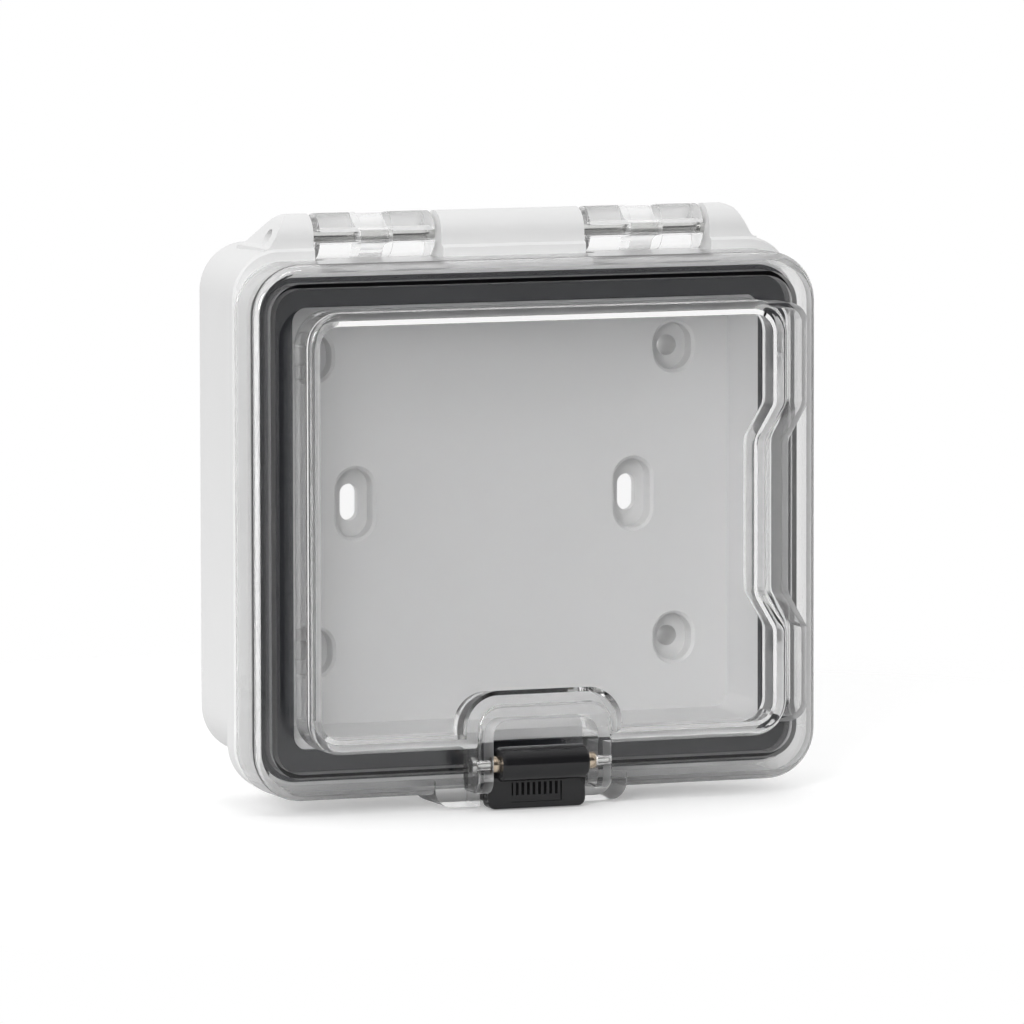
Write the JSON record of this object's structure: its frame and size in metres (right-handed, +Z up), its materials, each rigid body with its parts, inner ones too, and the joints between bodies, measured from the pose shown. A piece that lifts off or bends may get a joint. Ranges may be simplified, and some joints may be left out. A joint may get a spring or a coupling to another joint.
{
  "type": "weatherproof socket cover",
  "caption": "Wall box for a socket with a clear domed lid, a pinned hinge on top, a rubber seal and a pivoting latch below.",
  "frame": {"origin": "on the wall plane at the back of the box, midway between the two mounting slots and level with them", "axes": "+X to the right as seen from the front, +Y from the front towards the wall, +Z up"},
  "size_m": [0.1208, 0.0494, 0.1193],
  "materials": {
    "box_plastic": "fine satin, moulded",
    "seal_rubber": "matt, slightly bluish black",
    "clear_plastic": "clear, polished",
    "pin_steel": "drawn bright steel",
    "black_plastic": "glossy black",
    "collar_brass": "turned, slightly dull"
  },
  "bodies": {
    "case": {"back_box": "box_plastic", "lid_gasket": "seal_rubber", "hinge_pins": "pin_steel", "hinge_rings": "pin_steel"},
    "cover": {"lid": "clear_plastic", "latch_pin": "pin_steel", "latch_collars": "collar_brass"},
    "latch": {"latch_lever": "black_plastic"}
  },
  "joints": [
    {"name": "lid_hinge", "type": "hinge", "parent": "case", "child": "cover", "pos_m": [0, -0.0208, 0.0548], "axis": [-1, 0, 0], "range_deg": [0, 120]},
    {"name": "latch_pivot", "type": "hinge", "parent": "cover", "child": "latch", "pos_m": [-0.00185, -0.0459, -0.0504], "axis": [-1, 0, 0], "range_deg": [0, 50]}
  ]
}
